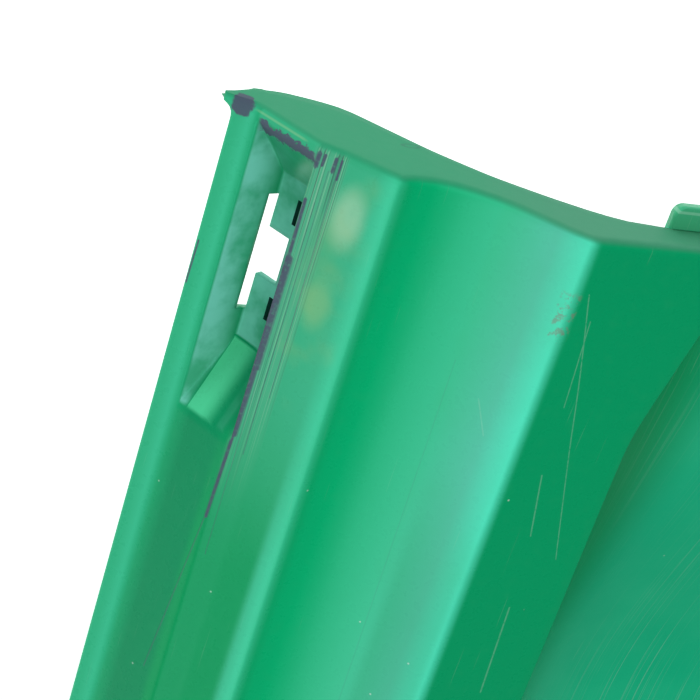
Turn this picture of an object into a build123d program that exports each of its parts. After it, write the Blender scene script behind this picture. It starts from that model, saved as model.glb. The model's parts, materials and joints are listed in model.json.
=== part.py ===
"""Straight slide for a garden play tower: a moulded bed between two hollow moulded rails on a welded
tube frame, hung on a deck by a steel bracket and resting on rubber feet at the run-out.

Frame: millimetres, +Z up. The slide runs down towards -Y, +X is to the right seen from the run-out.
The origin is the centre of the deck bolt pattern, on the plane where the bracket meets the deck.
A place along the slide is its distance "s" down the rail-top line, and a cross-section is drawn in
(x, z) with x from the centre line and z from the rail top, square to that line.
"""

from build123d import *
import math
import os

# --- driving dimensions -------------------------------------------------------------------------
SLOPE_DEG = 36.0          # angle of the sliding section
START_LEN = 280.0         # level starting section beside the deck
SLOPE_LEN = 1143.0        # straight sliding section
RUNOUT_LEN = 240.0        # level run-out section
TOP_BEND_R = 350.0        # bend of the rail top below the starting section
LOW_BEND_R = 450.0        # bend of the rail top above the run-out
RAIL_TOP_Z = 50.0         # rail top above the deck bolts

SKIN = 3.0                # wall of the moulded rails
BED_SKIN = 4.0            # wall of the moulded bed
BED_EDGE_Z = -14.0        # bed flange, under the rail top
BED_FLOOR_Z = -60.0       # sliding surface, under the rail top
COVE_R = 80.0             # hollow between the bed's floor and its flange
BED_MOUTH_X = 150.0       # where the cove meets the flange
BED_FLANGE_X = 174.0      # outer edge of the bed flange
LIP_LEN = 40.0            # flat entry lip of the bed
ENTRY_LEN = 250.0         # where the bed has reached its full depth
WALL_FOOT_X = 163.0       # where the arch of a rail's end wall comes down to the bed flange
TONGUE_LEN = 9.0          # tongue that laps over the deck edge
TONGUE_X = 162.0
TONGUE_CORNER_R = 5.0

# Rail section, from the outer foot over the top to the inner lip
FOOT_X, FOOT_Z = 298.0, -80.5
TOE_X, FOOT_UNDER_Z = 289.0, -87.0      # the foot turns in below to this toe
CREASE_X, CREASE_Z = 292.0, -73.5
RIDGE_X, RIDGE_Z = 277.5, -48.0
SHOULDER_X, SHOULDER_Z = 256.0, -29.5
COVE_LOW_X, COVE_LOW_Z = 236.0, -29.5
CROWN_X = 198.0           # outer corner of the flat rail top
MOUTH_X = 155.0           # inner edge of the flat rail top
FLARE_LEN = 75.0          # length over which the inner edge flares at the entry
FLARE_WIDE = 18.0         # how far it flares

# Socket for a hand grip, in the lower flank of each rail, by the entry
SOCKET_RIM_S = (5.0, 117.0)
SOCKET_FLOOR_S = (25.0, 89.5)
SOCKET_RIM_T = (3.6, 27.6)      # up the flank from the crease
SOCKET_FLOOR_T = (5.3, 25.7)
SOCKET_DEPTH = 17.2
DRAIN_S, DRAIN_WIDE = (33.0, 79.0), 3.6
NOTCH_S, NOTCH_T = (45.8, 64.5), 14.8
CATCH_SPANS = ((32.0, 40.0), (69.0, 77.5))    # the two snap-hook holes beside the notch
CATCH_T = (13.3, 18.0)

# Frame of round tube under the mouldings
TUBE_R, TUBE_WALL = 10.0, 1.5
TUBE_X, TUBE_Z = 200.0, -75.5
TUBE_START_S, TUBE_END_GAP = 60.0, 22.0
CROSSBAR_NAMES = ("entry", "upper", "middle", "lower", "runout")
CROSSBAR_S = (265.0, 640.0, 1010.0, 1400.0, 2060.0)
CLIP_S = (150.0, 560.0, 930.0, 1310.0, 2090.0)
CLIP_LEN = 22.0
PILLAR_R, PILLAR_X = 6.0, 19.0
SCREW_S = (60.0, 230.0, 510.0, 790.0, 1070.0, 1350.0, 1630.0, 1935.0, 2110.0)
SCREW_X = 168.0
BOSS_R = 6.0
SCREW_R, SCREW_HEAD_R, SCREW_HEAD_H = 2.2, 5.0, 3.0
SCREW_FIT = 0.15          # gap between a screw and its hole

# Deck bracket, a steel angle under the entry lip
BRACKET_X, BRACKET_T = 104.0, 4.0
BRACKET_DEPTH, BRACKET_LEG = 62.0, 36.0
DECK_HOLE_R, DECK_HOLE_DX, DECK_HOLE_DZ = 4.5, 180.0, 34.0
LIP_BOLT_R, LIP_BOLT_X, LIP_BOLT_S = 3.0, (-90.0, 0.0, 90.0), 22.0

FOOT_PAD_H = 6.0
ANCHOR_HOLE_R = 5.5


# --- the rail-top line ---------------------------------------------------------------------------
ARC_TOP = TOP_BEND_R * math.radians(SLOPE_DEG)
ARC_LOW = LOW_BEND_R * math.radians(SLOPE_DEG)
RAIL_LEN = START_LEN + ARC_TOP + SLOPE_LEN + ARC_LOW + RUNOUT_LEN


def rail_line(s):
    """(y, z, angle below level in degrees) of the rail-top line at distance s."""
    y, z, a = 0.0, RAIL_TOP_Z, 0.0
    for length, turn in ((START_LEN, 0.0), (ARC_TOP, SLOPE_DEG), (SLOPE_LEN, 0.0),
                         (ARC_LOW, -SLOPE_DEG), (RUNOUT_LEN, 0.0)):
        step = min(s, length) if length != RUNOUT_LEN else s
        r = math.radians(a)
        if turn == 0.0:
            y, z = y - step * math.cos(r), z - step * math.sin(r)
        else:
            radius = length / math.radians(turn)
            b = r + step / radius
            y -= radius * (math.sin(b) - math.sin(r))
            z -= radius * (math.cos(r) - math.cos(b))
            a = math.degrees(b)
        s -= step
        if s <= 1e-9:
            break
    return y, z, a


def section_plane(s, x=0.0, z=0.0):
    """Plane square to the rail-top line at s: its x is +X, its y is up, its normal points down the slide."""
    y0, z0, a = rail_line(s)
    r = math.radians(a)
    up = Vector(0, -math.sin(r), math.cos(r))
    return Plane(origin=Vector(x, y0, z0) + up * z, x_dir=(1, 0, 0),
                 z_dir=(0, -math.cos(r), -math.sin(r)))


def up_plane(s, x, z):
    """Plane whose normal is the section's up, for bosses, screws and pads."""
    p = section_plane(s, x, z)
    return Plane(origin=p.origin, x_dir=(1, 0, 0), z_dir=p.y_dir)


def swept(outline, start, end):
    """Carries an outline, a face in section (x, z), along the rail-top line from start to end."""
    breaks = [0.0, START_LEN, START_LEN + ARC_TOP, RAIL_LEN - RUNOUT_LEN - ARC_LOW,
              RAIL_LEN - RUNOUT_LEN, RAIL_LEN]
    body = None
    for k in range(5):
        a, b = max(start, breaks[k]), min(end, breaks[k + 1])
        if b - a < 1e-6:
            continue
        face = section_plane(a) * outline
        if k in (1, 3):
            radius = TOP_BEND_R if k == 1 else LOW_BEND_R
            sign = -1.0 if k == 1 else 1.0
            centre = section_plane(a, z=sign * radius).origin
            piece = revolve(face, Axis(centre, (-sign, 0, 0)), math.degrees((b - a) / radius))
        else:
            piece = extrude(face, amount=b - a, dir=section_plane(a).z_dir)
        body = piece if body is None else body + piece
    return body


def outline(*edges):
    """Face inside a closed chain of edges."""
    return make_face(list(edges))


def chain(*points):
    """Straight edges through points, in order."""
    return [Line(points[i], points[i + 1]) for i in range(len(points) - 1)]


# --- rail section ----------------------------------------------------------------------------------
def flank_points(skin):
    """Corners of the rail's outer side, moved inwards by skin: toe, foot, crease, ridge, shoulder, cove."""
    return [(-(TOE_X - 0.5 * skin), FOOT_UNDER_Z + 0.86 * skin), (-(FOOT_X - 1.68 * skin), FOOT_Z + 0.16 * skin),
            (-(CREASE_X - 0.8 * skin), CREASE_Z - 0.6 * skin), (-(RIDGE_X - 0.8 * skin), RIDGE_Z - 0.6 * skin),
            (-(SHOULDER_X - 0.4 * skin), SHOULDER_Z - skin), (-COVE_LOW_X, COVE_LOW_Z - skin)]


def top_edges(skin):
    """The rail section's upper edges for the left rail, from the toe to the inner lip, and their two ends."""
    points = flank_points(skin)
    crown = (-(CROWN_X - 0.4 * skin), -skin)
    mouth = (-(MOUTH_X + skin), -skin)
    edges = [*chain(*points), TangentArc(points[-1], crown, tangent=(1.0, 0.12)), Line(crown, mouth)]
    return edges, points[0], mouth


def rail_shell_outline():
    """Skin of the left rail: foot, flank, shoulder, cove, flat top and the lip that lands on the bed."""
    outer, toe, _ = top_edges(0.0)
    inner, inner_toe, _ = top_edges(SKIN)
    ends = [*chain((-MOUTH_X, 0.0), (-MOUTH_X, BED_EDGE_Z), (-(MOUTH_X + SKIN), BED_EDGE_Z),
                   (-(MOUTH_X + SKIN), -SKIN)), Line(toe, inner_toe)]
    return outline(*outer, *inner, *ends)


def end_wall_outline(mouth_x):
    """Closing wall of the left rail: under edge level by the foot, then an arch up to the bed flange."""
    upper, toe, _ = top_edges(0.0)
    under = [Line(toe, (-272.0, FOOT_UNDER_Z)),
             TangentArc((-272.0, FOOT_UNDER_Z), (-236.0, -54.5), tangent=(1.0, 0.06)),
             Line((-236.0, -54.5), (-197.0, -24.0)),
             ThreePointArc((-197.0, -24.0), (-181.0, -17.3), (-WALL_FOOT_X, BED_EDGE_Z))]
    last = [Line((-WALL_FOOT_X, BED_EDGE_Z), (-mouth_x, BED_EDGE_Z))]
    rim = [Line((-mouth_x, BED_EDGE_Z), (-mouth_x, 0.0))]
    if mouth_x < MOUTH_X:
        rim.append(Line((-mouth_x, 0.0), (-MOUTH_X, 0.0)))
    return outline(*upper, *under, *last, *rim)


# --- the socket in the rail flank -------------------------------------------------------------------
FLANK = Vector(CREASE_X - RIDGE_X, RIDGE_Z - CREASE_Z, 0).normalized()    # (x, z) up the flank


def flank_point(t, depth, s):
    """World point at t up the left flank from the crease, depth below its surface, s along the rail."""
    x = -CREASE_X + t * FLANK.X + depth * FLANK.Y
    z = CREASE_Z + t * FLANK.Y - depth * FLANK.X
    y0, z0, _ = rail_line(s)
    return Vector(x, y0, z0 + z)


def flank_frustum(rim_s, rim_t, floor_s, floor_t, top_depth, floor_depth):
    """Tapering block between a rectangle near the flank's surface and a smaller one below it."""
    faces = []
    for (s0, s1), (t0, t1), depth in ((rim_s, rim_t, top_depth), (floor_s, floor_t, floor_depth)):
        corners = [flank_point(t, depth, s) for t, s in ((t0, s0), (t1, s0), (t1, s1), (t0, s1))]
        faces.append(make_face(Polyline(*corners, close=True)))
    return loft(faces, ruled=True)


def flank_block(s0, s1, t0, t1, depth0, depth1):
    """Straight-sided block in the flank's own directions."""
    return flank_frustum((s0, s1), (t0, t1), (s0, s1), (t0, t1), depth0, depth1)


def widened(span, by):
    return span[0] - by, span[1] + by


def socket_hollow():
    """Space inside the socket, run a little past the flank's surface."""
    grow = 2.0 / SOCKET_DEPTH
    rim_s = tuple(r + (r - f) * grow for r, f in zip(SOCKET_RIM_S, SOCKET_FLOOR_S))
    rim_t = tuple(r + (r - f) * grow for r, f in zip(SOCKET_RIM_T, SOCKET_FLOOR_T))
    return flank_frustum(rim_s, rim_t, SOCKET_FLOOR_S, SOCKET_FLOOR_T, -2.0, SOCKET_DEPTH)


def socket_wall():
    """Block that the hollow is cut from, one skin larger all round and starting inside the flank's skin."""
    skin = 0.75 * SKIN
    return flank_frustum(widened(SOCKET_RIM_S, skin), widened(SOCKET_RIM_T, skin),
                         widened(SOCKET_FLOOR_S, skin), widened(SOCKET_FLOOR_T, skin),
                         0.6, SOCKET_DEPTH + skin)


def socket_openings():
    """Drain slot along the lower edge, notch between the two tabs, and the two snap-hook holes."""
    through = SOCKET_DEPTH + 6.0
    low = SOCKET_FLOOR_T[0] - 4.0
    drain = flank_block(*DRAIN_S, low, SOCKET_FLOOR_T[0], SOCKET_DEPTH - DRAIN_WIDE, through)
    notch = flank_block(*NOTCH_S, low, NOTCH_T, SOCKET_DEPTH - 1.0, through)
    catches = [flank_block(*span, *CATCH_T, SOCKET_DEPTH - 1.0, through) for span in CATCH_SPANS]
    return [drain, notch, *catches]


# --- rails -------------------------------------------------------------------------------------------
def entry_flare():
    """Top plate and lip of the left rail where its inner edge runs in towards the entry."""
    plan = [(-MOUTH_X - SKIN, 0.0), (-MOUTH_X - SKIN, -FLARE_LEN), (-MOUTH_X, -FLARE_LEN),
            (-MOUTH_X + FLARE_WIDE, 0.0)]
    top = Plane((0, 0, RAIL_TOP_Z)) * make_face(Polyline(*plan, close=True))
    plate = extrude(top, amount=-SKIN)
    lip_plan = [plan[2], plan[3], (plan[3][0] - SKIN, 0.0), (plan[2][0] - SKIN, -FLARE_LEN)]
    lip = Plane((0, 0, RAIL_TOP_Z)) * make_face(Polyline(*lip_plan, close=True))
    return plate + extrude(lip, amount=BED_EDGE_Z)


def post(s, x, z_low, z_high, radius, bore, bore_top):
    """Round moulded post in the section's up direction, with a blind screw hole from below."""
    solid = extrude(up_plane(s, x, z_low) * Circle(radius), amount=z_high - z_low)
    return solid - extrude(up_plane(s, x, z_low - 1.0) * Circle(bore), amount=bore_top - z_low + 1.0)


def above_skin(s):
    """Space over the middle of the rail's skin near s, where posts and ribs stop."""
    edges, toe, mouth = top_edges(SKIN / 2)
    around = chain(mouth, (-MOUTH_X, 60.0), (-400.0, 60.0), (-400.0, FOOT_UNDER_Z), toe)
    return swept(outline(*edges, *around), s - 8.0, s + 8.0)


def tube_seat(s):
    """Two screw posts astride the side tube and the rib between them that the tube seats on."""
    seat = None
    for side in (-1, 1):
        x = -TUBE_X + side * PILLAR_X
        pillar = post(s, x, TUBE_Z + 2.0, 0.0, PILLAR_R, SCREW_R + SCREW_FIT, TUBE_Z + 18.0)
        seat = pillar if seat is None else seat + pillar
    rib = up_plane(s, -TUBE_X, TUBE_Z + TUBE_R + 0.3) * Rectangle(2 * PILLAR_X - PILLAR_R, 5.0)
    return seat + extrude(rib, amount=TUBE_R - TUBE_Z - 25.0) - above_skin(s)


def make_rail():
    """Left rail moulding."""
    pilot = SCREW_R + SCREW_FIT
    rail = swept(rail_shell_outline(), 0.0, RAIL_LEN)
    y_end = -FLARE_LEN
    lip_slot = Pos(-MOUTH_X - SKIN / 2, y_end / 2, RAIL_TOP_Z - SKIN + BED_EDGE_Z / 2) * Box(
        SKIN + 0.02, FLARE_LEN, -BED_EDGE_Z)
    rail = rail - lip_slot + entry_flare()
    rail += extrude(section_plane(0.0) * end_wall_outline(MOUTH_X - FLARE_WIDE), amount=SKIN)
    rail += extrude(section_plane(RAIL_LEN) * end_wall_outline(MOUTH_X), amount=-SKIN)
    rail += socket_wall()
    rail -= socket_hollow()
    for cut in socket_openings():
        rail -= cut
    for s in SCREW_S:
        rail += post(s, -SCREW_X, BED_EDGE_Z, -1.5, BOSS_R, pilot, -5.0)
    for s in CLIP_S:
        rail += tube_seat(s)
    return rail


# --- bed ---------------------------------------------------------------------------------------------
def bed_depth(s):
    """Drop of the floor below the flange: none at the lip, then an easy S down to the full depth."""
    share = min(1.0, max(0.0, (s - LIP_LEN) / (ENTRY_LEN - LIP_LEN)))
    return 0.4 + (BED_EDGE_Z - BED_FLOOR_Z - 0.4) * share * share * (3 - 2 * share)


def bed_outline(depth):
    """Bed skin: flat floor, a cove of fixed radius each side, and flanges under the rails."""
    run = math.sqrt(COVE_R**2 - (COVE_R - depth) ** 2)
    flat, floor = BED_MOUTH_X - run, BED_EDGE_Z - depth
    centre_z = floor + COVE_R
    low_r, low_z = COVE_R + BED_SKIN, BED_EDGE_Z - BED_SKIN
    low_x = flat + math.sqrt(low_r**2 - (centre_z - low_z) ** 2)

    def cove(side, radius, x_end, z_end, z_flat):
        half = math.atan2(x_end - flat, centre_z - z_end) / 2
        mid = (side * (flat + radius * math.sin(half)), centre_z - radius * math.cos(half))
        return ThreePointArc((side * x_end, z_end), mid, (side * flat, z_flat))

    upper = [Line((-BED_FLANGE_X, BED_EDGE_Z), (-BED_MOUTH_X, BED_EDGE_Z)),
             cove(-1, COVE_R, BED_MOUTH_X, BED_EDGE_Z, floor),
             Line((-flat, floor), (flat, floor)),
             cove(1, COVE_R, BED_MOUTH_X, BED_EDGE_Z, floor),
             Line((BED_MOUTH_X, BED_EDGE_Z), (BED_FLANGE_X, BED_EDGE_Z))]
    lower = [Line((BED_FLANGE_X, BED_EDGE_Z), (BED_FLANGE_X, low_z)),
             Line((BED_FLANGE_X, low_z), (low_x, low_z)),
             cove(1, low_r, low_x, low_z, floor - BED_SKIN),
             Line((flat, floor - BED_SKIN), (-flat, floor - BED_SKIN)),
             cove(-1, low_r, low_x, low_z, floor - BED_SKIN),
             Line((-low_x, low_z), (-BED_FLANGE_X, low_z)),
             Line((-BED_FLANGE_X, low_z), (-BED_FLANGE_X, BED_EDGE_Z))]
    return outline(*upper, *lower)


def bed_end_outline():
    """Closing wall of the bed at the run-out, from the sliding surface down to the foot line."""
    depth = BED_EDGE_Z - BED_FLOOR_Z
    run = math.sqrt(COVE_R**2 - (COVE_R - depth) ** 2)
    flat = BED_MOUTH_X - run
    half = math.atan2(run, COVE_R - depth) / 2
    mid = (flat + COVE_R * math.sin(half), BED_FLOOR_Z + COVE_R - COVE_R * math.cos(half))
    right = ThreePointArc((BED_MOUTH_X, BED_EDGE_Z), mid, (flat, BED_FLOOR_Z))
    left = ThreePointArc((-BED_MOUTH_X, BED_EDGE_Z), (-mid[0], mid[1]), (-flat, BED_FLOOR_Z))
    low = FOOT_UNDER_Z + 5.0
    return outline(left, Line((-flat, BED_FLOOR_Z), (flat, BED_FLOOR_Z)), right,
                   *chain((BED_MOUTH_X, BED_EDGE_Z), (BED_FLANGE_X - 2, BED_EDGE_Z), (BED_MOUTH_X, low),
                          (-BED_MOUTH_X, low), (-BED_FLANGE_X + 2, BED_EDGE_Z), (-BED_MOUTH_X, BED_EDGE_Z)))


def make_bed():
    """Bed moulding: tongue and entry lip, S-shaped entry, then the constant section down to the run-out."""
    sections = 5
    places = [LIP_LEN + (ENTRY_LEN - LIP_LEN) * k / (sections - 1) for k in range(sections)]
    bed = loft([section_plane(s) * bed_outline(bed_depth(s)) for s in places])
    bed += swept(bed_outline(BED_EDGE_Z - BED_FLOOR_Z), ENTRY_LEN, RAIL_LEN - SKIN)
    lip_z = RAIL_TOP_Z + BED_EDGE_Z - BED_SKIN
    lip = Pos(0, -(SKIN + LIP_LEN) / 2, lip_z + BED_SKIN / 2) * Box(2 * BED_FLANGE_X, LIP_LEN - SKIN, BED_SKIN)
    tongue_plan = Pos(0, (TONGUE_LEN - SKIN) / 2, lip_z) * RectangleRounded(
        2 * TONGUE_X, TONGUE_LEN + SKIN, TONGUE_CORNER_R)
    tongue_root = Pos(0, -SKIN / 2, lip_z) * Rectangle(2 * TONGUE_X, SKIN)
    bed += lip + extrude(tongue_plan + tongue_root, amount=BED_SKIN)
    bed += extrude(section_plane(RAIL_LEN - SKIN) * bed_end_outline(), amount=-BED_SKIN)
    for side in (-1, 1):
        for s in SCREW_S:
            bed -= extrude(up_plane(s, side * SCREW_X, BED_EDGE_Z - 10.0) * Circle(SCREW_R + SCREW_FIT),
                           amount=11.0)
    for x in LIP_BOLT_X:
        bed -= extrude(up_plane(LIP_BOLT_S, x, BED_EDGE_Z - 10.0) * Circle(LIP_BOLT_R + SCREW_FIT),
                       amount=20.0)
        bed -= lip_bolt_recess(x)
    return bed


def lip_bolt_recess(x):
    """Countersink in the lip for a bolt head that lies flush with the sliding surface."""
    wide = LIP_BOLT_R + BED_SKIN * 0.75
    plane = up_plane(LIP_BOLT_S, x, BED_EDGE_Z)
    return Solid.make_cone(LIP_BOLT_R + SCREW_FIT, wide + SCREW_FIT, BED_SKIN * 0.75,
                           plane.offset(-BED_SKIN * 0.75))


# --- tube frame ----------------------------------------------------------------------------------------
def make_side_tube():
    ring = Pos(-TUBE_X, TUBE_Z) * (Circle(TUBE_R) - Circle(TUBE_R - TUBE_WALL))
    return swept(ring, TUBE_START_S, RAIL_LEN - TUBE_END_GAP)


def make_crossbar(s):
    """Round tube between the side tubes, coped to meet them."""
    plane = Plane(origin=section_plane(s, z=TUBE_Z).origin, x_dir=section_plane(s).z_dir, z_dir=(1, 0, 0))
    bar = extrude(plane * (Circle(TUBE_R) - Circle(TUBE_R - TUBE_WALL)), amount=TUBE_X, both=True)
    for side in (-1, 1):
        cope = Pos(side * TUBE_X, TUBE_Z) * Circle(TUBE_R)
        reach = 2 * TUBE_R
        bar -= swept(cope, s - reach, s + reach)
    return bar


def make_saddle(s):
    """Moulded block that carries the bed on a crossbar, with two screw holes from below."""
    top = BED_FLOOR_Z - BED_SKIN
    block = extrude(up_plane(s, 0, TUBE_Z) * RectangleRounded(120.0, 26.0, 4.0), amount=top - TUBE_Z)
    plane = Plane(origin=section_plane(s, z=TUBE_Z).origin, x_dir=section_plane(s).z_dir, z_dir=(1, 0, 0))
    return block - extrude(plane * Circle(TUBE_R + 0.1), amount=70.0, both=True)


def make_clip(s):
    """Omega strap that holds the side tube up against the rail's saddle rib."""
    gap, strap = 0.1, 1.8
    ear = PILLAR_X + 7.0
    z0, z1 = TUBE_Z + 2.0 - strap, TUBE_Z + 2.0
    plate = Pos(-TUBE_X, (z0 + z1) / 2) * Rectangle(2 * ear, strap)
    loop = Pos(-TUBE_X, TUBE_Z) * Circle(TUBE_R + gap + strap)
    keep = Pos(-TUBE_X, z1 - 20.0) * Rectangle(60.0, 40.0)
    hollow = Pos(-TUBE_X, TUBE_Z) * Circle(TUBE_R + gap)
    strap_face = ((plate + loop) & keep) - hollow
    clip = extrude(section_plane(s - CLIP_LEN / 2) * strap_face, amount=CLIP_LEN)
    for side in (-1, 1):
        x = -TUBE_X + side * PILLAR_X
        clip -= extrude(up_plane(s, x, z0 - 1) * Circle(SCREW_R + SCREW_FIT), amount=strap + 2)
    return clip


# --- fasteners and small parts -----------------------------------------------------------------------------
def pan_screw(s, x, seat_z, length):
    """Pan-head screw driven up into a post, its head under the face at seat_z, with a cross recess."""
    head = extrude(up_plane(s, x, seat_z - SCREW_HEAD_H) * Circle(SCREW_HEAD_R), amount=SCREW_HEAD_H)
    head = fillet(head.edges().group_by(SortBy.LENGTH)[-1], 0.9)
    shank = extrude(up_plane(s, x, seat_z) * Circle(SCREW_R), amount=length)
    cross = Rectangle(5.0, 1.1) + Rectangle(1.1, 5.0)
    return head + shank - extrude(up_plane(s, x, seat_z - SCREW_HEAD_H - 0.5) * cross, amount=2.0)


def lip_bolt(x):
    """Countersunk bolt through the bed lip and the bracket's level leg."""
    top = BED_EDGE_Z - 0.15
    cone_h = BED_SKIN * 0.75 - 0.15
    plane = up_plane(LIP_BOLT_S, x, top - cone_h)
    head = Solid.make_cone(LIP_BOLT_R, LIP_BOLT_R + BED_SKIN * 0.75 - 0.15, cone_h, plane)
    shank = extrude(plane * Circle(LIP_BOLT_R), amount=-(BED_SKIN + BRACKET_T + 6.0))
    drive = extrude(up_plane(LIP_BOLT_S, x, top + 0.1) * RegularPolygon(1.9, 6), amount=-1.8)
    return head + shank - drive


def lip_nut(x):
    """Flanged nut under the bracket's level leg."""
    seat = BED_EDGE_Z - BED_SKIN - BRACKET_T
    nut = extrude(up_plane(LIP_BOLT_S, x, seat) * Circle(7.0), amount=-1.4)
    nut += extrude(up_plane(LIP_BOLT_S, x, seat - 1.4) * RegularPolygon(5.8, 6), amount=-4.6)
    return nut - extrude(up_plane(LIP_BOLT_S, x, seat + 1) * Circle(LIP_BOLT_R + 0.05), amount=-8.0)


def make_bracket():
    """Steel angle: level leg under the entry lip, upright leg against the deck edge, folded with a bend."""
    top = RAIL_TOP_Z + BED_EDGE_Z - BED_SKIN
    leg, upright, t = BRACKET_LEG, BRACKET_DEPTH, BRACKET_T
    side = Plane.YZ * make_face([*chain((-leg, top), (-t - 2, top)),
                                 ThreePointArc((-t - 2, top), (-1.757, top - 1.757), (0, top - t - 2)),
                                 *chain((0, top - t - 2), (0, top - upright), (-t, top - upright),
                                        (-t, top - t - 2)),
                                 ThreePointArc((-t, top - t - 2), (-t - 0.586, top - t - 0.586),
                                               (-t - 2, top - t)),
                                 *chain((-t - 2, top - t), (-leg, top - t), (-leg, top))])
    bracket = extrude(side, amount=BRACKET_X, both=True)
    for x in (-DECK_HOLE_DX / 2, DECK_HOLE_DX / 2):
        for z in (-DECK_HOLE_DZ / 2, DECK_HOLE_DZ / 2):
            bracket -= Pos(x, -t / 2, z) * Rot(90, 0, 0) * Cylinder(DECK_HOLE_R, 3 * t)
    for x in LIP_BOLT_X:
        bracket -= Pos(x, -LIP_BOLT_S, top) * Cylinder(LIP_BOLT_R + SCREW_FIT, 3 * t)
    return bracket


def make_foot():
    """Rubber shoe under the lower edge of the left rail at the run-out, with a shoulder inside the wall."""
    length = 150.0
    _, toe, _ = top_edges(0.0)
    _, inner_toe, _ = top_edges(SKIN)
    ground = FOOT_UNDER_Z - FOOT_PAD_H
    side_z = FOOT_Z + (FOOT_UNDER_Z - FOOT_Z) * 2.0 / (FOOT_X - TOE_X)
    shoe = Polyline((-FOOT_X + 2.0, ground), (-TOE_X + 8.0, ground), (-TOE_X + 8.0, inner_toe[1]),
                    inner_toe, toe, (-FOOT_X + 2.0, side_z), close=True)
    return extrude(section_plane(RAIL_LEN - 30.0 - length) * make_face(shoe), amount=length)


def make_anchor():
    """Steel plate under the run-out crossbar, with two holes for ground pegs."""
    s = CROSSBAR_S[-1]
    z = TUBE_Z - TUBE_R
    strap = Pos(0, z - 1.5) * Rectangle(200.0, 3.0)
    plate = extrude(section_plane(s - 25.0) * strap, amount=50.0)
    for x in (-80.0, 80.0):
        plate -= extrude(up_plane(s, x, z - 5.0) * Circle(ANCHOR_HOLE_R), amount=8.0)
    return plate


def make_plug(s, inward):
    """Push-in cap for the open end of a side tube; inward is +1 at the upper end and -1 at the lower."""
    plane = section_plane(s, -TUBE_X, TUBE_Z)
    cap = extrude(plane * Circle(TUBE_R), amount=-2.5 * inward)
    cap = fillet(cap.edges().sort_by_distance(plane.origin)[-1], 1.0)
    return cap + extrude(plane * Circle(TUBE_R - TUBE_WALL - 0.05), amount=9.0 * inward)


# --- assembly ----------------------------------------------------------------------------------------------
def mirrored(shape):
    return mirror(shape, about=Plane.YZ)


def build_parts():
    """All sub-parts by node name; the right-hand ones are mirror images of the left."""
    rail, tube, foot = make_rail(), make_side_tube(), make_foot()
    clips = [make_clip(s) for s in CLIP_S]
    rail_screws = [pan_screw(s, -SCREW_X, BED_EDGE_Z - BED_SKIN, BED_SKIN + 7.0) for s in SCREW_S]
    clip_screws = [pan_screw(s, -TUBE_X + side * PILLAR_X, TUBE_Z + 0.2, 16.0)
                   for s in CLIP_S for side in (-1, 1)]
    plugs = [make_plug(TUBE_START_S, 1), make_plug(RAIL_LEN - TUBE_END_GAP, -1)]
    left = {"rail": rail, "side_tube": tube, "tube_clips": Compound(clips), "ground_foot": foot,
            "rail_screws": Compound(rail_screws), "clip_screws": Compound(clip_screws),
            "tube_plugs": Compound(plugs)}
    parts = {"bed": make_bed(), "deck_bracket": make_bracket(), "ground_anchor_plate": make_anchor(),
             "lip_bolts": Compound([lip_bolt(x) for x in LIP_BOLT_X]),
             "lip_nuts": Compound([lip_nut(x) for x in LIP_BOLT_X])}
    for name, shape in left.items():
        parts["left_" + name] = shape
        parts["right_" + name] = mirrored(shape)
    for name, s in zip(CROSSBAR_NAMES, CROSSBAR_S):
        parts[name + "_crossbar"] = make_crossbar(s)
        parts[name + "_saddle"] = make_saddle(s)
    return parts


os.makedirs("parts", exist_ok=True)
for node, shape in build_parts().items():
    export_step(shape, f"parts/{node}.step")
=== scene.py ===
"""Looks for a straight playground slide: two scuffed hollow rails, the moulded bed between them and the
galvanised frame below. Shapes are worked out in millimetres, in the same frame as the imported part: +Z up,
the slide runs down towards -Y from the plane Y = 0, and "s" is the distance down the rail-top line."""
import json
import math

import bpy
import numpy as np
from bpy.props import FloatProperty, FloatVectorProperty, PointerProperty
from mathutils import Matrix, Vector


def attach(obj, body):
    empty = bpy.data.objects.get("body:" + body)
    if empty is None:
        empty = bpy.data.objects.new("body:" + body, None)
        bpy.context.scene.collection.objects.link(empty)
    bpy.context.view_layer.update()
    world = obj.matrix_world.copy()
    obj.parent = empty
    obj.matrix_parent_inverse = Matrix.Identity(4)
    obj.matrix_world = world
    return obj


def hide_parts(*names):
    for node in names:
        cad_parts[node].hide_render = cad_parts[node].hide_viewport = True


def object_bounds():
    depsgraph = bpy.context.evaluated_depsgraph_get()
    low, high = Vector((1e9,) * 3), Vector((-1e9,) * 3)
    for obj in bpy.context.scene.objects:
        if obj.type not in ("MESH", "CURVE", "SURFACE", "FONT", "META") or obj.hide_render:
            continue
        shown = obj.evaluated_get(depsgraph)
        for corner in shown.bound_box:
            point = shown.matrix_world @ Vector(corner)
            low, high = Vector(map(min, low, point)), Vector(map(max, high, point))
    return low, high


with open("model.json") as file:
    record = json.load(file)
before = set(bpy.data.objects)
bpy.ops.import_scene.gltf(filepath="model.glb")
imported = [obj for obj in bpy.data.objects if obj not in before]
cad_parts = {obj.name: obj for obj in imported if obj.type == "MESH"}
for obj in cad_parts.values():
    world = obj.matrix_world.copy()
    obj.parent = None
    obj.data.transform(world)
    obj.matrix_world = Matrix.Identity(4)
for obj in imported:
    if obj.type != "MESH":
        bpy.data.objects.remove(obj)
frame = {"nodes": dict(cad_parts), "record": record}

bl_info = {
    "name": "Straight Slide",
    "version": (1, 0, 0),
    "blender": (4, 5, 0),
    "location": "3D View > Sidebar > Slide",
    "description": "Builds the mouldings, finishes and stage of a straight playground slide",
    "category": "Add Mesh",
}

CAD_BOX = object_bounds()
MM = 0.001
BODY = "root"


# --- sizes and colours a user may change -----------------------------------------------------------------
def length(name, description, default):
    return FloatProperty(name=name, description=description, default=default, min=0.0, unit="LENGTH")


def colour(name, description, default):
    return FloatVectorProperty(name=name, description=description, default=default, size=4, min=0.0,
                               max=1.0, subtype="COLOR")


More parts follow.
